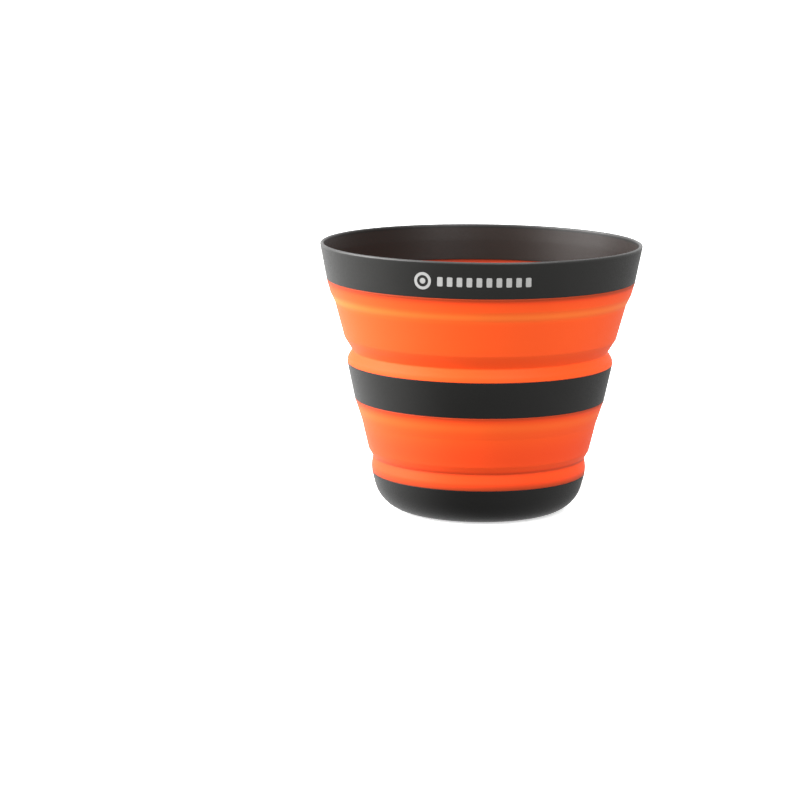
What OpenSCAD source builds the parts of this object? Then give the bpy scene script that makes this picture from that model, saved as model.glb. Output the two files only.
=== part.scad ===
// Collapsible travel cup: a rim ring, a middle ring and a base of rigid plastic,
// joined by two soft silicone walls. Each wall folds up between two rings, so
// that the open cup telescopes down to a low nest of rings.
// The origin is at the centre of the foot's underside, +Z up, with the cup open.

/* [Rim ring] */
// Outer radius of the drinking lip
rim_top_r = 51; // [50:0.1:54]
// Outer radius at the bottom edge of the rim ring
rim_bottom_r = 48.8; // [48:0.1:50]
// Height of the rim ring
rim_h = 11.4; // [9:0.1:14]

/* [Middle ring] */
// Outer radius at the top edge of the middle ring
mid_top_r = 42.1; // [41.5:0.1:43]
// Outer radius at the bottom edge of the middle ring
mid_bottom_r = 39.7; // [39:0.1:40.5]
// Height of the middle ring
mid_h = 11.4; // [9:0.1:13]

/* [Base] */
// Outer radius at the top edge of the base
base_top_r = 34; // [33:0.1:34.8]
// Height of the base
base_h = 12; // [11.5:0.1:14]
// Outer radius of the rounded bottom corner
base_corner_r = 11; // [8:0.5:11.5]
// How far the base's side leans out above that corner
base_lean = 0.6; // [0.4:0.1:1.5]
// Thickness of the base's floor and side
base_t = 1.6; // [1.4:0.1:2]
// Depth of the recess under the floor
foot_recess = 0.5; // [0.2:0.1:0.8]
// Width of the flat ring that the cup stands on
foot_w = 4; // [3:0.5:8]

/* [Rigid rings] */
// Wall thickness of the rim ring and the middle ring
ring_t = 1.5; // [1.4:0.1:2]
// Depth of the grooves that anchor the silicone walls
groove_d = 2.5; // [1.5:0.1:3.5]
// Width of those grooves, which the silicone's tongues fill
groove_w = 0.6; // [0.4:0.05:0.7]

/* [Upper silicone wall] */
// Height of the upper wall between its rings
upper_h = 26.7; // [25:0.1:28]
// Height of the stiff skirt under the rim ring
skirt_h = 4.4; // [3:0.1:5]
// Height over which the wall steps in below the skirt
upper_crease_h = 3.2; // [2:0.1:4]
// Outer radius of the panel at its top, below that step
upper_panel_top_r = 46.3; // [45.5:0.1:46.5]
// Outer radius of the panel at its bottom, above the notch
upper_panel_bottom_r = 43.2; // [42.8:0.1:44]
// Height over which the panel turns in to the notch
upper_notch_rise = 4.2; // [3:0.1:5]
// Outer radius at the bottom of the notch
upper_notch_r = 40.9; // [40.5:0.1:41.5]
// Height of the shoulder under the notch
upper_shoulder_h = 3.8; // [3.2:0.1:4.5]

/* [Lower silicone wall] */
// Height of the lower wall between its rings
lower_h = 23.8; // [22:0.1:25]
// Height of the hem under the middle ring
hem_h = 1.2; // [0.8:0.1:1.4]
// Height over which the wall steps in below the hem
lower_crease_h = 6.3; // [5:0.1:7]
// Outer radius of the panel at its top, below that step
lower_panel_top_r = 37.35; // [37:0.05:37.6]
// Outer radius of the panel at its bottom, above the notch
lower_panel_bottom_r = 35.3; // [35:0.1:36]
// Height over which the panel turns in to the notch
lower_notch_rise = 3.4; // [2.5:0.1:4]
// Outer radius at the bottom of the notch
lower_notch_r = 33.9; // [33.4:0.1:34.2]
// Height of the shoulder under the notch
lower_shoulder_h = 4.6; // [4:0.1:5]
// How far the shoulder bulges beyond the base's top edge
lower_bulge = 0.15; // [0:0.05:0.4]

/* [Silicone] */
// Wall thickness of the silicone
wall_t = 1.3; // [1.1:0.1:1.4]
// Wall thickness at the two notches, where the walls hinge
hinge_t = 0.7; // [0.5:0.1:1]

/* [Hidden] */

$fn = 120;
charcoal = [0.25, 0.25, 0.24];
orange = [0.95, 0.36, 0.13];

// Heights of the seams between the pieces, from the ground up
mid_z = base_h + lower_h;
upper_wall_z = mid_z + mid_h;
rim_z = upper_wall_z + upper_h;
// Heights where each wall changes from one zone to the next
lower_notch_z = base_h + lower_shoulder_h;
hem_z = mid_z - hem_h;
upper_notch_z = upper_wall_z + upper_shoulder_h;
skirt_z = rim_z - skirt_h;
// Outer radii of the walls at the skirt's and the hem's lower edges
skirt_r = rim_bottom_r - (rim_bottom_r - mid_top_r) * skirt_h / upper_h;
hem_r = mid_bottom_r - (mid_bottom_r - base_top_r) * hem_h / lower_h;

// The lip is fully round, and the rim's side is straight up to it
lip_r = ring_t / 2;
rim_side_h = rim_h - lip_r;

// The base's side is the straight line from its top edge that touches the corner's circle
foot_r = base_top_r - base_corner_r - base_lean;
to_top = [base_top_r - foot_r, base_h - base_corner_r];
side_a = atan2(to_top[1], to_top[0]) - acos(base_corner_r / norm(to_top));
base_side_t = base_t / cos(side_a);
base_side_slope = -tan(side_a);

// Outline of a skin: outer points [r, z] from the bottom up, with its radial thickness at each
function skin(outer, t) = concat(
    outer,
    [for (i = [len(outer) - 1:-1:0]) [outer[i][0] - t[i], outer[i][1]]]
);

// Outline of a groove, or the tongue in it: centred on r at height z, d deep,
// leaning out by slope for each millimetre of height
function groove(r, z, d, slope) = [
    [r - groove_w / 2, z],
    [r + groove_w / 2, z],
    [r + groove_w / 2 + slope * d, z + d],
    [r - groove_w / 2 + slope * d, z + d]
];

function rim_groove() =
    groove(rim_bottom_r - ring_t / 2, rim_z, groove_d, (rim_top_r - rim_bottom_r) / rim_side_h);

function mid_top_groove() =
    groove(mid_top_r - ring_t / 2, upper_wall_z, -groove_d, (mid_top_r - mid_bottom_r) / mid_h);

function mid_bottom_groove() =
    groove(mid_bottom_r - ring_t / 2, mid_z, groove_d, (mid_top_r - mid_bottom_r) / mid_h);

function base_groove() =
    groove(base_top_r - base_side_t / 2, base_h, -groove_d, base_side_slope);

module rim_ring() {
    color(charcoal)
        rotate_extrude()
            difference() {
                union() {
                    polygon(skin(
                        [[rim_bottom_r, rim_z], [rim_top_r, rim_z + rim_side_h]],
                        [ring_t, ring_t]
                    ));
                    translate([rim_top_r - lip_r, rim_z + rim_side_h])
                        circle(lip_r);
                }
                polygon(rim_groove());
            }
}

module mid_ring() {
    color(charcoal)
        rotate_extrude()
            difference() {
                polygon(skin([[mid_bottom_r, mid_z], [mid_top_r, upper_wall_z]], [ring_t, ring_t]));
                polygon(mid_top_groove());
                polygon(mid_bottom_groove());
            }
}

// Half section of a solid bowl, with its corner circle of radius r and its top edge at top_r
module bowl(r, top_r) {
    touch = [foot_r + r * cos(side_a), base_corner_r + r * sin(side_a)];
    translate([foot_r, base_corner_r])
        circle(r);
    polygon([
        [0, base_corner_r - r],
        [foot_r, base_corner_r - r],
        [foot_r, base_corner_r],
        touch,
        [top_r, base_h],
        [0, base_h]
    ]);
}

module base() {
    color(charcoal)
        rotate_extrude()
            difference() {
                intersection() {
                    bowl(base_corner_r, base_top_r);
                    square([base_top_r, base_h]);
                }
                bowl(base_corner_r - base_t, base_top_r - base_side_t);
                square([foot_r - foot_w, foot_recess]);
                polygon(base_groove());
            }
}

// A stretch of silicone wall turned about the cup's axis, with its tongue if it has one
module wall(outer, t, tongue = []) {
    color(orange) {
        rotate_extrude()
            polygon(skin(outer, t));
        if (len(tongue) > 0)
            rotate_extrude()
                polygon(tongue);
    }
}

module upper_wall_skirt() {
    wall([[skirt_r, skirt_z], [rim_bottom_r, rim_z]], [wall_t, ring_t], rim_groove());
}

module upper_wall_panel() {
    wall(
        [
            [upper_notch_r, upper_notch_z],
            [upper_panel_bottom_r, upper_notch_z + upper_notch_rise],
            [upper_panel_top_r, skirt_z - upper_crease_h],
            [skirt_r, skirt_z]
        ],
        [hinge_t, wall_t, wall_t, wall_t]
    );
}

module upper_wall_shoulder() {
    full_r = mid_top_r - (mid_top_r - upper_notch_r) / 4;
    wall(
        [
            [mid_top_r, upper_wall_z],
            [full_r, upper_wall_z + upper_shoulder_h / 2],
            [upper_notch_r, upper_notch_z]
        ],
        [ring_t, wall_t, hinge_t],
        mid_top_groove()
    );
}

module lower_wall_hem() {
    wall([[hem_r, hem_z], [mid_bottom_r, mid_z]], [wall_t, ring_t], mid_bottom_groove());
}

module lower_wall_panel() {
    wall(
        [
            [lower_notch_r, lower_notch_z],
            [lower_panel_bottom_r, lower_notch_z + lower_notch_rise],
            [lower_panel_top_r, hem_z - lower_crease_h],
            [hem_r, hem_z]
        ],
        [hinge_t, wall_t, wall_t, wall_t]
    );
}

module lower_wall_shoulder() {
    wall(
        [
            [base_top_r, base_h],
            [base_top_r + lower_bulge, base_h + lower_shoulder_h / 2],
            [lower_notch_r, lower_notch_z]
        ],
        [base_side_t, wall_t, hinge_t],
        base_groove()
    );
}

rim_ring();
upper_wall_skirt();
upper_wall_panel();
upper_wall_shoulder();
mid_ring();
lower_wall_hem();
lower_wall_panel();
lower_wall_shoulder();
base();
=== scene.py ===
"""Looks of the collapsible travel cup: turned plastic rings and two soft silicone walls."""

import math

import bmesh
import bpy
import numpy as np
from mathutils import Matrix, Vector


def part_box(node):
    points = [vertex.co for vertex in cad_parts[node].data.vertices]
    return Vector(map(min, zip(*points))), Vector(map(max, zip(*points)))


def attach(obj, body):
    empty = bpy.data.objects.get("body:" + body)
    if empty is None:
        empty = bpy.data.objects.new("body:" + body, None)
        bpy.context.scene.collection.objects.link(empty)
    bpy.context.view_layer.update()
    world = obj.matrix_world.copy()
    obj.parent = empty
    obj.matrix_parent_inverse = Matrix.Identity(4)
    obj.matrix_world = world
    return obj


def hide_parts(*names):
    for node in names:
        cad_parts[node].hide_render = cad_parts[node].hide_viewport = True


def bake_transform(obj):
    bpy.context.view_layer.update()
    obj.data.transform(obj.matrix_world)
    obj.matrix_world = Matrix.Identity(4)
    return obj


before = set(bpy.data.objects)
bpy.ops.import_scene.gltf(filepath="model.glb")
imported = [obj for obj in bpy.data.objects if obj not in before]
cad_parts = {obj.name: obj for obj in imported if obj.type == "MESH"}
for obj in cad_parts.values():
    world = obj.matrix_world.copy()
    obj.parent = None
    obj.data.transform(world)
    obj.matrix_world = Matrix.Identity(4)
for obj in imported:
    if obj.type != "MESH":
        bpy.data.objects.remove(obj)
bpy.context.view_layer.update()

MM = 0.001
TURN_STEPS = 288  # facets round the cup
FILLET_STEPS = 6  # for a right angle
CORNER_STEPS = 24  # in the base's round corner
WALL_STEP = 0.25  # distance between the points of a silicone wall's outline, in millimetres


# ---- Measures, in millimetres: some read from the frame, the rest given ----

def span(node):
    """Bottom height, top height and greatest radius of a round CAD node."""
    lo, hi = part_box(node)
    return lo.z / MM, hi.z / MM, hi.x / MM


RIM_LEAN = 2.2  # how much further out the rim ring is at its top than at its bottom
MIDDLE_LEAN = 2.4

rim_z, cup_h, rim_top_r = span("rim_ring")
rim_bottom_r = rim_top_r - RIM_LEAN
mid_z, mid_top_z, mid_top_r = span("mid_ring")
mid_bottom_r = mid_top_r - MIDDLE_LEAN
_, base_h, base_top_r = span("base")
upper_notch_z, _, _ = span("upper_wall_panel")
lower_notch_z, _, _ = span("lower_wall_panel")
# How far each ring's side leans out for each millimetre of height
rim_slope = RIM_LEAN / (cup_h - rim_z)
middle_slope = MIDDLE_LEAN / (mid_top_z - mid_z)
base_slope = 0.25

RING_T = 1.5  # wall of the rim ring and the middle ring
LIP_T = 1.15  # wall at the drinking lip
LIP_TAPER = 5.0  # height over which the rim ring thins towards its lip
RIM_LAP = 0.12  # how much further down the rim ring goes on its inside
EDGE = 0.15  # rounding of a ring's outer edges
INNER_EDGE = 0.3
BASE_T = 1.6  # wall and floor of the base
CORNER_R = 11.0  # rounded bottom corner of the base
BASE_LEAN = 0.6  # how far its side leans out above that corner
FOOT_W = 4.0  # the ring that the cup stands on
FOOT_RECESS = 0.5
SILICONE_T = 1.3
HINGE_SHARE = 0.5  # of the silicone's thickness, where it hinges
CREASE_STEPS = 12  # points round a crease, where the silicone turns back on itself when it folds
SEAM = 0.12  # how far the silicone steps in where it enters a ring
TUCK = 0.7  # how far it goes in


# ---- Outlines: points (r, z) in millimetres ----

def rounded(corners, step=0.8):
    """A line through corners, each rounded by an arc, with points at most step apart.
    A corner is (r, z, fillet radius), and may add the least number of steps in its arc."""
    line = [Vector(corners[0][:2])]
    for i in range(1, len(corners) - 1):
        before, here, after = (Vector(c[:2]) for c in corners[i - 1 : i + 2])
        into, out = (here - before).normalized(), (after - here).normalized()
        turn = math.acos(max(-1.0, min(1.0, into.dot(out))))
        radius = corners[i][2]
        if radius <= 0 or turn < 1e-4:
            line.append(here)
            continue
        back = radius * math.tan(turn / 2)
        side = 1 if into.cross(out) > 0 else -1
        centre = here - into * back + Vector((-into.y, into.x)) * (side * radius)
        arm = here - into * back - centre
        for_angle = math.ceil(FILLET_STEPS * turn / math.pi * 2)
        for_length = math.ceil(radius * turn / step)
        steps = max(2, for_angle, for_length, *corners[i][3:])
        for k in range(steps + 1):
            a = side * turn * k / steps
            line.append(centre + Vector((
                arm.x * math.cos(a) - arm.y * math.sin(a),
                arm.x * math.sin(a) + arm.y * math.cos(a),
            )))
    line.append(Vector(corners[-1][:2]))
    filled = [line[0]]
    for a, b in zip(line[:-1], line[1:]):
        pieces = max(1, math.ceil((b - a).length / step))
        filled += [a.lerp(b, k / pieces) for k in range(1, pieces + 1)]
    return [(p.x, p.y) for p in filled]


def closed_outline(corners):
    """A rounded outline that ends where it starts: the first corner is the middle of a straight side."""
    return rounded(corners + [corners[0]])[:-1]


def turned(name, outline, closed, tone):
    """A mesh of revolution about Z. An open outline may start or end on the axis, where it closes.
    tone, a function of radius and height, is kept on its points for the material, where it sets painted
    light and shade in the colour."""
    mesh = bpy.data.meshes.new(name)
    bm = bmesh.new()
    angles = [2 * math.pi * k / TURN_STEPS for k in range(TURN_STEPS)]
    rings = []
    for r, z in outline:
        if r < 1e-6:
            rings.append([bm.verts.new((0, 0, z * MM))])
        else:
            rings.append([
                bm.verts.new((r * MM * math.cos(a), r * MM * math.sin(a), z * MM)) for a in angles
            ])
    pairs = list(zip(rings[:-1], rings[1:]))
    if closed:
        pairs.append((rings[-1], rings[0]))
    for low, high in pairs:
        for k in range(TURN_STEPS):
            n = (k + 1) % TURN_STEPS
            corners = [low[k % len(low)], low[n % len(low)], high[n % len(high)], high[k % len(high)]]
            face = [v for i, v in enumerate(corners) if v not in corners[:i]]
            bm.faces.new(face)
    bm.to_mesh(mesh)
    bm.free()
    layer = mesh.attributes.new("tone", "FLOAT", "POINT")
    layer.data.foreach_set("value", [tone(v.co.xy.length / MM, v.co.z / MM) for v in mesh.vertices])
    mesh.shade_smooth()
    piece = bpy.data.objects.new(name, mesh)
    bpy.context.scene.collection.objects.link(piece)
    return piece


# ---- Rigid rings ----

def rim_radius(z):
    """Outer radius of the rim ring at height z."""
    return rim_bottom_r + rim_slope * (z - rim_z)


def middle_radius(z):
    """Outer radius of the middle ring at height z."""
    return mid_bottom_r + middle_slope * (z - mid_z)


LIP_FADE = 0.5  # height over which the lip's tone fades


def base_tone(_, z):
    """The plastic's tone: from 0 at the foot to 1 near the top, for painted shade that darkens it towards
    the foot, and 2 on the smooth drinking lip.
    """
    return z / cup_h + math.exp(-(((cup_h - z) / LIP_FADE) ** 2))


def band_tone(outer_radius):
    """The tone of a ring that is -1 on its inside, for a brown painted bounce light, where its outside
    radius is outer_radius(z).
    """
    def tone(r, z):
        inside = r < outer_radius(z) - RING_T / 2 and z < cup_h - LIP_T
        return -1 if inside else base_tone(r, z)
    return tone


def make_rim():
    """The rim ring. Its wall thins a little towards a fully round lip."""
    lip = LIP_T / 2 - 0.01  # just under half the thickness, so that there is room for both arcs
    side_h = cup_h - LIP_T / 2
    taper_h = cup_h - LIP_TAPER
    middle_z = (rim_z + taper_h) / 2
    return turned("rim_band", closed_outline([
        (rim_radius(middle_z), middle_z, 0),
        (rim_radius(side_h), side_h, 1),
        (rim_top_r + 0.02, cup_h, lip),
        (rim_top_r - LIP_T, cup_h, lip),
        (rim_radius(side_h) - LIP_T, side_h, 1),
        (rim_radius(taper_h) - RING_T, taper_h, 10),
        (rim_bottom_r - RING_T, rim_z - RIM_LAP, EDGE),
        (rim_bottom_r, rim_z, EDGE),
    ]), True, band_tone(rim_radius))


def make_middle():
    middle_z, middle_r = (mid_z + mid_top_z) / 2, (mid_bottom_r + mid_top_r) / 2
    return turned("middle_band", closed_outline([
        (middle_r, middle_z, 0),
        (mid_top_r, mid_top_z, EDGE),
        (mid_top_r - RING_T, mid_top_z, INNER_EDGE),
        (mid_bottom_r - RING_T, mid_z, INNER_EDGE),
        (mid_bottom_r, mid_z, EDGE),
    ]), True, band_tone(middle_radius))


def make_base():
    """The bowl-shaped base: recessed foot, round corner, leaning side, and the inside down to the floor."""
    foot_r = base_top_r - CORNER_R - BASE_LEAN
    reach = Vector((base_top_r - foot_r, base_h - CORNER_R))
    side_a = math.atan2(reach.y, reach.x) - math.acos(CORNER_R / reach.length)
    side_t = BASE_T / math.cos(side_a)
    inner_r = CORNER_R - BASE_T
    corner = [(foot_r + CORNER_R * math.cos(a), CORNER_R + CORNER_R * math.sin(a), 0)
              for a in np.linspace(-math.pi / 2, side_a, CORNER_STEPS)]
    hollow = [(foot_r + inner_r * math.cos(a), CORNER_R + inner_r * math.sin(a), 0)
              for a in np.linspace(side_a, -math.pi / 2, CORNER_STEPS)]
    recess_r = foot_r - FOOT_W
    return turned("base_shell", rounded([
        (0, FOOT_RECESS, 0),
        (recess_r - FOOT_RECESS / 2, FOOT_RECESS, EDGE),
        (recess_r, 0, EDGE),
        *corner,
        (base_top_r, base_h, EDGE),
        (base_top_r - side_t, base_h, INNER_EDGE),
        *hollow,
        (0, BASE_T, 0),
    ]), False, base_tone)


# ---- The print: a plain ring and a row of bars in pale ink on the front of the rim ----

PRINT_Z = 79.1
PRINT_PROUD = 0.03
PRINT_SUNK = 0.03
RING_AT = -17.9  # its centre, along the rim from the front
RING_R = 2.7
RING_HOLE_R = 1.8
DOT_R = 0.9
BARS = 10
BARS_FROM = -12.4  # the first bar's centre
BAR_PITCH = 3.0
BAR_W = 1.7
BAR_H = 2.9
BAR_CORNER = 0.35


def on_rim(along, z, proud):
    """A point on the rim ring's outside, along millimetres to the right of its front."""
    r = rim_radius(z)
    a = along / r - math.pi / 2
    return Vector((math.cos(a), math.sin(a), 0)) * (r + proud) * MM + Vector((0, 0, z * MM))


def print_shape(bm, outline, hole=()):
    """Ink inside an outline of points (along, z), and outside a hole of as many, as a thin closed solid."""
    top, low, top_in, low_in = (
        [bm.verts.new(on_rim(s, z, proud)) for s, z in points]
        for points in (outline, hole) for proud in (PRINT_PROUD, -PRINT_SUNK)
    )
    walls = [(low, top)]
    if hole:
        walls += [(top, top_in), (top_in, low_in), (low_in, low)]
    else:
        bm.faces.new(top)
        bm.faces.new(low[::-1])
    for one, other in walls:
        for k in range(len(outline)):
            n = (k + 1) % len(outline)
            bm.faces.new((one[k], one[n], other[n], other[k]))


def circle_points(along, z, radius, steps=64):
    return [(along + radius * math.cos(a), z + radius * math.sin(a))
            for a in (2 * math.pi * k / steps for k in range(steps))]


def bar_points(along, z):
    """The outline of an upright bar with round corners."""
    points = []
    for turn, (side, end) in enumerate(((1, 1), (-1, 1), (-1, -1), (1, -1))):
        for k in range(5):
            a = (turn + k / 4) * math.pi / 2
            points.append((
                along + side * (BAR_W / 2 - BAR_CORNER) + BAR_CORNER * math.cos(a),
                z + end * (BAR_H / 2 - BAR_CORNER) + BAR_CORNER * math.sin(a),
            ))
    return points


def make_print():
    """The ink: a ring with a dot in it, and the bars."""
    mesh = bpy.data.meshes.new("rim_print")
    bm = bmesh.new()
    print_shape(bm, circle_points(RING_AT, PRINT_Z, RING_R), circle_points(RING_AT, PRINT_Z, RING_HOLE_R))
    print_shape(bm, circle_points(RING_AT, PRINT_Z, DOT_R))
    for k in range(BARS):
        print_shape(bm, bar_points(BARS_FROM + BAR_PITCH * k, PRINT_Z))
    bmesh.ops.recalc_face_normals(bm, faces=bm.faces)
    bm.to_mesh(mesh)
    bm.free()
    piece = bpy.data.objects.new("rim_print", mesh)
    bpy.context.scene.collection.objects.link(piece)
    return piece


# ---- Silicone walls: one sheet each, with a live thickness that stays even when it folds ----

upper_crease_z = upper_notch_z + 0.2
lower_crease_z = lower_notch_z + 0.5
# Where each wall bends, from its shoulder up: outer radius, height, radius of the bend
UPPER_BENDS = (
    (mid_top_r - 0.15, mid_top_z + 1.5, 2.0),  # shoulder
    (40.45, upper_crease_z, 0.6, CREASE_STEPS),  # crease
    (43.1, upper_crease_z + 4.2, 2.2),  # bottom of the panel
    (46.1, rim_z - 7.4, 2.5),  # top of the panel
    (47.6, rim_z - 4.3, 3.0),  # bottom of the skirt
)
LOWER_BENDS = (
    (base_top_r + 0.15, base_h + 2.1, 3.0),  # shoulder
    (33.7, lower_crease_z, 0.5, CREASE_STEPS),  # crease
    (35.15, lower_crease_z + 2.5, 1.6),  # bottom of the panel
    (37.3, mid_z - 7.2, 6.0),  # top of the panel
    (39.15, mid_z - 1.6, 6.0),  # hem
)
# Where each wall hinges, and is thinner: height, half width
UPPER_HINGES = ((rim_z - 6.9, 3.0), (upper_crease_z, 2.2))
LOWER_HINGES = ((mid_z - 3.5, 4.5), (lower_crease_z, 2.2))
# Painted light on the silicone, as soft bands of tone: painted highlight where it is paler (1) and painted
# shade where it is deeper (-1) than its middle tone: height, half width, strength
UPPER_PAINTED_LIGHT = (
    # painted shadow under the rim ring, and softer painted shade below it
    (rim_z, 1.5, -1.9),
    (rim_z, 2.6, -0.4),
    # painted highlight: a pale band below the rim ring
    (rim_z - 5.95, 1.3, 1.0),
    # painted shade above the crease
    (upper_crease_z + 2.4, 1.4, -0.3),
)
LOWER_PAINTED_LIGHT = (
    # painted shadow under the middle ring, and softer painted shade below it
    (mid_z, 1.4, -1.5),
    (mid_z, 2.4, -0.4),
    # painted highlight: a pale band below the middle ring
    (mid_z - 3.0, 2.2, 0.4),
    # painted shade over the lower panel
    (lower_crease_z + 5.4, 6.0, -0.85),
    # painted shade in the crease
    (lower_crease_z + 0.2, 0.7, -1.0),
    # painted shade on the shoulder, darker towards the base, and painted shadow at the base's seam
    (base_h + 2.5, 2.5, -0.5),
    (base_h, 1.5, -1.7),
)


def toned(tones):
    """The tone at a height: soft bands of painted light and shade added up."""
    def tone(_, z):
        return sum(strength * math.exp(-(((z - place) / width) ** 2)) for place, width, strength in tones)
    return tone


def thicken(piece, hinges):
    """Gives a wall its thickness, inwards, which is less along its hinges."""
    group = piece.vertex_groups.new(name="thickness")
    for v in piece.data.vertices:
        thinned = max(math.exp(-(((v.co.z / MM - place) / width) ** 2)) for place, width in hinges)
        group.add([v.index], 1 - (1 - HINGE_SHARE) * thinned, "REPLACE")
    solid = piece.modifiers.new("thickness", "SOLIDIFY")
    solid.thickness = SILICONE_T * MM
    solid.vertex_group = group.name
    solid.offset = -1
    solid.use_even_offset = True
    solid.use_rim = True
    solid.material_offset = 1


def make_wall(name, below, bends, above, tones, hinges):
    """A wall from its tongue in the ring below it, up through its bends and into the ring above.
    Each ring is given by the radius, height and slope of its side, where the wall meets it."""
    low_r, low_z, low_slope = below
    high_r, high_z, high_slope = above
    piece = turned(name, rounded([
        (low_r - SEAM - low_slope * TUCK, low_z - TUCK, 0),
        (low_r - SEAM, low_z, SEAM),
        (low_r, low_z + 1.5 * SEAM, SEAM),
        *bends,
        (high_r, high_z - 1.5 * SEAM, SEAM),
        (high_r - SEAM, high_z, SEAM),
        (high_r - SEAM + high_slope * TUCK, high_z + TUCK, 0),
    ], step=WALL_STEP), False, toned(tones))
    thicken(piece, hinges)
    return piece


def make_upper_wall():
    """The wall between the middle ring and the rim ring."""
    below = (mid_top_r, mid_top_z, middle_slope)
    above = (rim_bottom_r, rim_z, rim_slope)
    return make_wall("upper_wall", below, UPPER_BENDS, above, UPPER_PAINTED_LIGHT, UPPER_HINGES)


def make_lower_wall():
    """The wall between the base and the middle ring."""
    below = (base_top_r, base_h, base_slope)
    above = (mid_bottom_r, mid_z, middle_slope)
    return make_wall("lower_wall", below, LOWER_BENDS, above, LOWER_PAINTED_LIGHT, LOWER_HINGES)


# ---- Materials ----

# The plastic's colours, evenly spaced: tone -1 inside the rings is a brown painted bounce light, and from 0
# at the foot to 1 at the top is painted shade, darker towards the foot
PLASTIC_COLOURS = (
    (0.0155, 0.0105, 0.0085),
    (0.0068, 0.0067, 0.0063),
    (0.0158, 0.0155, 0.0145),
)
PLASTIC_GRAIN = 2600  # features for each metre
PLASTIC_CLOUDS = 60
PLASTIC_SHADES = ((0.8, 0.8, 0.8), (1.12, 1.12, 1.12))  # what the clouds multiply its colour by
PLASTIC_ROUGHNESS = (0.42, 0.56)
PLASTIC_GLOSS = 0.16
LIP_GLOSS = 0.62
LIP_POLISH = 0.88  # the lip's roughness, as a share of the rest
LIP_TONES = {"start": 1.1, "end": 1.8}  # the tones over which the plastic turns into the lip
# The silicone's colours, evenly spaced from tone -2 to tone 1: -2 is painted shadow, -1 painted shade, 0
# its own colour and 1 painted highlight
SILICONE_COLOURS = (
    (0.36, 0.041, 0.01),
    (0.78, 0.06, 0.0108),
    (0.84, 0.088, 0.0135),
    (0.9, 0.168, 0.025),
)
INSIDE_SHADE_SHARE = 0.5  # painted shade: the walls' insides keep this share of their colour
SILICONE_GRAIN = 3500
SILICONE_CLOUDS = 35
SILICONE_SHADES = ((0.96, 0.92, 0.92), (1.0, 1.01, 1.01))
SILICONE_ROUGHNESS = (0.52, 0.64)
INK_SPECKLE = 2200
INK_COLOURS = ((0.3, 0.3, 0.295), (0.4, 0.4, 0.39))


def node_material(name):
    material = bpy.data.materials.new(name)
    material.use_nodes = True
    tree = material.node_tree
    return material, tree, tree.nodes["Principled BSDF"]


def noise(tree, scale, detail):
    """Noise in the cup's own frame, where scale is features for each metre."""
    place = tree.nodes.new("ShaderNodeTexCoord")
    node = tree.nodes.new("ShaderNodeTexNoise")
    node.inputs["Scale"].default_value = scale
    node.inputs["Detail"].default_value = detail
    tree.links.new(place.outputs["Object"], node.inputs["Vector"])
    return node.outputs["Fac"]


def between(tree, factor, low, high, start=0.3, end=0.7):
    """factor spread over low to high as it goes from start to end. Noise mostly stays within 0.3 to 0.7."""
    node = tree.nodes.new("ShaderNodeMapRange")
    node.inputs["From Min"].default_value = start
    node.inputs["From Max"].default_value = end
    node.inputs["To Min"].default_value = low
    node.inputs["To Max"].default_value = high
    tree.links.new(factor, node.inputs["Value"])
    return node.outputs["Result"]


def mixed(tree, factor, low, high):
    """A colour from low to high, by factor."""
    node = tree.nodes.new("ShaderNodeMix")
    node.data_type = "RGBA"
    node.inputs["A"].default_value = (*low, 1)
    node.inputs["B"].default_value = (*high, 1)
    tree.links.new(factor, node.inputs["Factor"])
    return node.outputs["Result"]


def bump(tree, shader, height, distance, strength):
    """Bump on a shader, where distance is in millimetres."""
    node = tree.nodes.new("ShaderNodeBump")
    node.inputs["Distance"].default_value = distance * MM
    node.inputs["Strength"].default_value = strength
    tree.links.new(height, node.inputs["Height"])
    tree.links.new(node.outputs["Normal"], shader.inputs["Normal"])


def tone_of(tree):
    """The tone kept on a mesh's points, which carries painted light and shade."""
    tone = tree.nodes.new("ShaderNodeAttribute")
    tone.attribute_name = "tone"
    return tone.outputs["Fac"]


def toned_colour(tree, colours, low, clouds):
    """The colour by tone, which paints light and shade, clouded by soft noise. colours has one for each
    whole tone from low up.
    """
    ramp = tree.nodes.new("ShaderNodeValToRGB")
    last = len(colours) - 1
    for k in range(1, last):
        ramp.color_ramp.elements.new(k / last)
    for stop, colour in zip(ramp.color_ramp.elements, colours):
        stop.color = (*colour, 1)
    tree.links.new(between(tree, tone_of(tree), 0, 1, start=low, end=low + last), ramp.inputs["Fac"])
    blend = tree.nodes.new("ShaderNodeMix")
    blend.data_type = "RGBA"
    blend.blend_type = "MULTIPLY"
    blend.inputs["Factor"].default_value = 1
    tree.links.new(ramp.outputs["Color"], blend.inputs["A"])
    tree.links.new(clouds, blend.inputs["B"])
    return blend.outputs["Result"]


def charcoal_plastic():
    """Matt dark grey plastic with a fine grain, and a smooth lip. The rings' insides are browner with
    painted bounce light, and painted shade darkens it towards the foot.
    """
    material, tree, shader = node_material("charcoal_plastic")
    grain = noise(tree, PLASTIC_GRAIN, detail=2)
    clouds = mixed(tree, noise(tree, PLASTIC_CLOUDS, detail=7), *PLASTIC_SHADES)
    tree.links.new(toned_colour(tree, PLASTIC_COLOURS, -1, clouds), shader.inputs["Base Color"])
    rough = tree.nodes.new("ShaderNodeMath")
    rough.operation = "MULTIPLY"
    tree.links.new(between(tree, grain, *PLASTIC_ROUGHNESS), rough.inputs[0])
    tree.links.new(between(tree, tone_of(tree), 1, LIP_POLISH, **LIP_TONES), rough.inputs[1])
    tree.links.new(rough.outputs[0], shader.inputs["Roughness"])
    gloss = between(tree, tone_of(tree), PLASTIC_GLOSS, LIP_GLOSS, **LIP_TONES)
    tree.links.new(gloss, shader.inputs["Specular IOR Level"])
    bump(tree, shader, grain, distance=0.06, strength=0.5)
    return material


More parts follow.
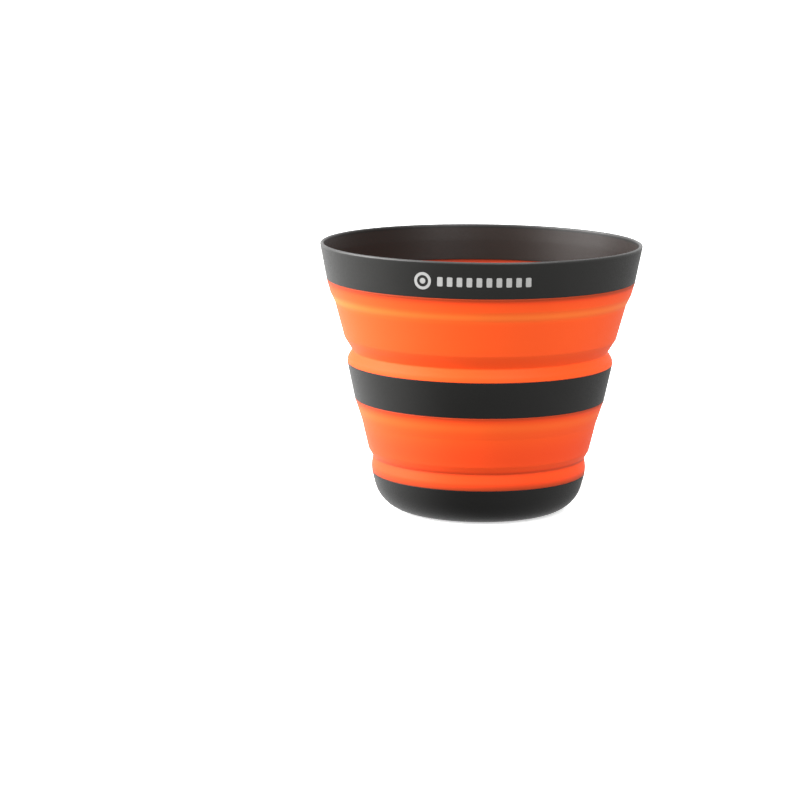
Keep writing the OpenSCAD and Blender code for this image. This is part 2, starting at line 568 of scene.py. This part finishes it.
def silicone(name, shade_share):
    """Soft rubber with a faint moulded grain. Its colour has painted highlight on pale bands below the
    rings, and painted shade at its seams, crease and lower parts.
    Its second argument is the share of its colour that it keeps, which darkens it as painted shade."""
    material, tree, shader = node_material(name)
    grain = noise(tree, SILICONE_GRAIN, detail=2)
    colours = [tuple(part * shade_share for part in colour) for colour in SILICONE_COLOURS]
    clouds = mixed(tree, noise(tree, SILICONE_CLOUDS, detail=7), *SILICONE_SHADES)
    tree.links.new(toned_colour(tree, colours, -2, clouds), shader.inputs["Base Color"])
    tree.links.new(between(tree, grain, *SILICONE_ROUGHNESS), shader.inputs["Roughness"])
    shader.inputs["Specular IOR Level"].default_value = 0.12
    shader.inputs["Sheen Weight"].default_value = 0.04
    shader.inputs["Sheen Roughness"].default_value = 0.4
    shader.inputs["Sheen Tint"].default_value = (1.0, 0.65, 0.35, 1)
    bump(tree, shader, grain, distance=0.04, strength=0.25)
    return material


def pale_ink():
    material, tree, shader = node_material("pale_ink")
    speckle = noise(tree, INK_SPECKLE, detail=3)
    tree.links.new(mixed(tree, speckle, *INK_COLOURS), shader.inputs["Base Color"])
    shader.inputs["Roughness"].default_value = 0.6
    shader.inputs["Specular IOR Level"].default_value = 0.2
    return material


# ---- The studio ----

CEILING = 1.55  # brightness straight overhead
BACK_GLOW = 1.2  # what the pale wall behind the cup adds
CEILING_LEAN = 0.5  # how much brighter it is to the far left, and darker to the far right
LEFT_BOUNCE = 1.5  # what the table top adds to the far left
BACK_BOUNCE = 1.5  # behind the cup
RIGHT_BOUNCE = 0.9  # and to the far right
# How bright the room is, as a share of the ceiling, by height from straight down (-1) to overhead (1)
ROOM_LEVELS = ((-1.0, 0.29), (-0.03, 0.29), (0.0, 0.6), (0.06, 0.06), (1.0, 1.0))

FLOOR_REACH = 4.5  # metres from the middle of the floor to each side
FLOOR_GLOW = 0.6
BACKDROP_H = 3.0
BACKDROP_GLOW = 1.2

CAMERA_DISTANCE = 0.954  # metres, from a point on the cup's axis
CAMERA_CENTRE = Vector((0, 0, 0.0438))  # that point
CAMERA_ELEVATION = 9.4  # degrees
CAMERA_ROLL = 0.47
CAMERA_AIM = Vector((-0.02525, 0, 0.0344))  # the middle of the picture
CAMERA_LENS = 134.9  # millimetres, for a sensor 36 mm wide


def stage_piece(name, corners, faces, glow, casts_shadow):
    """A white piece of the studio that only the camera sees: the room gives the cup its light."""
    mesh = bpy.data.meshes.new(name)
    mesh.from_pydata(corners, [], faces)
    piece = bpy.data.objects.new(name, mesh)
    bpy.context.scene.collection.objects.link(piece)
    material, _, shader = node_material(name + "_paper")
    shader.inputs["Base Color"].default_value = (0.92, 0.92, 0.92, 1)
    shader.inputs["Roughness"].default_value = 0.9
    shader.inputs["Specular IOR Level"].default_value = 0.1
    shader.inputs["Emission Color"].default_value = (1, 1, 1, 1)
    shader.inputs["Emission Strength"].default_value = glow
    mesh.materials.append(material)
    piece.visible_diffuse = False
    piece.visible_glossy = False
    piece.visible_shadow = casts_shadow


def make_floor():
    """The floor, and a backdrop along its four sides, which shows in low views."""
    around = ((-1, -1), (1, -1), (1, 1), (-1, 1))
    floor = [(x * FLOOR_REACH, y * FLOOR_REACH, 0) for x, y in around]
    top = [(x, y, BACKDROP_H) for x, y, _ in floor]
    stage_piece("floor", floor, [(0, 1, 2, 3)], FLOOR_GLOW, True)
    sides = [(k, (k + 1) % 4, (k + 1) % 4 + 4, k + 4) for k in range(4)]
    stage_piece("backdrop", floor + top, sides, BACKDROP_GLOW, False)


def make_light(name, azimuth, elevation, width, height, power):
    """A soft light a metre away that faces the cup. Azimuth 0 is in front of it, and 90 to its right."""
    a, e = math.radians(azimuth), math.radians(elevation)
    place = Vector((math.sin(a) * math.cos(e), -math.cos(a) * math.cos(e), math.sin(e)))
    data = bpy.data.lights.new(name, "AREA")
    data.shape = "RECTANGLE"
    data.size, data.size_y = width, height
    data.energy = power
    light = bpy.data.objects.new(name, data)
    light.location = place + Vector((0, 0, cup_h * MM / 2))
    light.rotation_mode = "QUATERNION"
    light.rotation_quaternion = (-place).to_track_quat("-Z", "Y")
    light.visible_camera = False
    bpy.context.scene.collection.objects.link(light)


def make_world():
    """A soft white room: a bright ceiling, a thin white horizon, and light from the table top,
    mostly from the sides and from behind."""
    world = bpy.data.worlds.new("studio")
    world.use_nodes = True
    tree = world.node_tree
    links = tree.links

    def math_node(operation, *values):
        """The outcome of operation on values, each of which is a number or another node's output."""
        node = tree.nodes.new("ShaderNodeMath")
        node.operation = operation
        for socket, value in zip(node.inputs, values):
            if isinstance(value, float):
                socket.default_value = value
            else:
                links.new(value, socket)
        return node.outputs[0]

    where = tree.nodes.new("ShaderNodeTexCoord")
    split = tree.nodes.new("ShaderNodeSeparateXYZ")
    links.new(where.outputs["Generated"], split.inputs[0])
    ramp = tree.nodes.new("ShaderNodeValToRGB")
    while len(ramp.color_ramp.elements) < len(ROOM_LEVELS):
        ramp.color_ramp.elements.new(0.5)
    for stop, (height, level) in zip(ramp.color_ramp.elements, ROOM_LEVELS):
        stop.position = (height + 1) / 2
        stop.color = (level, level, level, 1)
    links.new(math_node("MULTIPLY_ADD", split.outputs["Z"], 0.5, 0.5), ramp.inputs["Fac"])
    from_left = math_node("MULTIPLY", split.outputs["X"], -LEFT_BOUNCE)
    from_back = math_node("MULTIPLY", split.outputs["Y"], BACK_BOUNCE)
    from_right = math_node("MULTIPLY", split.outputs["X"], RIGHT_BOUNCE)
    sides = math_node("MAXIMUM", math_node("ADD", from_left, from_back), from_right)
    below = math_node("MULTIPLY", math_node("LESS_THAN", split.outputs["Z"], 0.0), sides)
    above = math_node("MULTIPLY_ADD", split.outputs["X"], -CEILING_LEAN, CEILING)
    behind = math_node("MULTIPLY", math_node("MAXIMUM", split.outputs["Y"], 0.0), BACK_GLOW)
    glow = math_node("MULTIPLY", math_node("GREATER_THAN", split.outputs["Z"], 0.0), behind)
    room = math_node("ADD", math_node("MULTIPLY", ramp.outputs["Color"], above), glow)
    total = math_node("ADD", room, below)
    background = tree.nodes["Background"]
    background.inputs["Color"].default_value = (1, 1, 1, 1)
    links.new(total, background.inputs["Strength"])
    bpy.context.scene.world = world


def make_camera():
    """A long lens a little above the rim, aimed beside the cup, which stands right of centre."""
    elevation = math.radians(CAMERA_ELEVATION)
    roll = Matrix.Rotation(math.radians(CAMERA_ROLL), 3, "Z")
    away = Vector((0, -math.cos(elevation), math.sin(elevation)))
    place = away * CAMERA_DISTANCE + CAMERA_CENTRE
    data = bpy.data.cameras.new("camera")
    data.sensor_width = 36
    data.lens = CAMERA_LENS
    data.clip_start, data.clip_end = 0.05, 50
    camera = bpy.data.objects.new("camera", data)
    look = (CAMERA_AIM - place).to_track_quat("-Z", "Y").to_matrix() @ roll
    camera.matrix_world = Matrix.Translation(place) @ look.to_4x4()
    bpy.context.scene.collection.objects.link(camera)
    bpy.context.scene.camera = camera


make_camera()
make_world()
make_floor()
make_light("key", azimuth=-84, elevation=24, width=1.0, height=0.8, power=32)
make_light("front", azimuth=30, elevation=35, width=0.5, height=0.5, power=8.2)
bpy.context.scene.view_settings.view_transform = "Standard"

plastic = charcoal_plastic()
outside = silicone("orange_silicone", 1.0)
# the walls' insides: a copy of the silicone darkened as painted shade
inside = silicone("orange_silicone_shaded_inside", INSIDE_SHADE_SHARE)

RINGS = (
    (make_rim, "rim", "rim_ring"),
    (make_middle, "middle", "mid_ring"),
    (make_base, "base", "base"),
)
for make, body, node in RINGS:
    ring = make()
    ring.data.materials.append(plastic)
    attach(ring, body)
    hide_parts(node)

ink = make_print()
ink.data.materials.append(pale_ink())
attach(ink, "rim")

upper_wall = make_upper_wall()
upper_wall.data.materials.append(outside)
upper_wall.data.materials.append(inside)
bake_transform(upper_wall)
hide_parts("upper_wall_skirt", "upper_wall_panel", "upper_wall_shoulder")

lower_wall = make_lower_wall()
lower_wall.data.materials.append(outside)
lower_wall.data.materials.append(inside)
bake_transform(lower_wall)
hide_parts("lower_wall_hem", "lower_wall_panel", "lower_wall_shoulder")
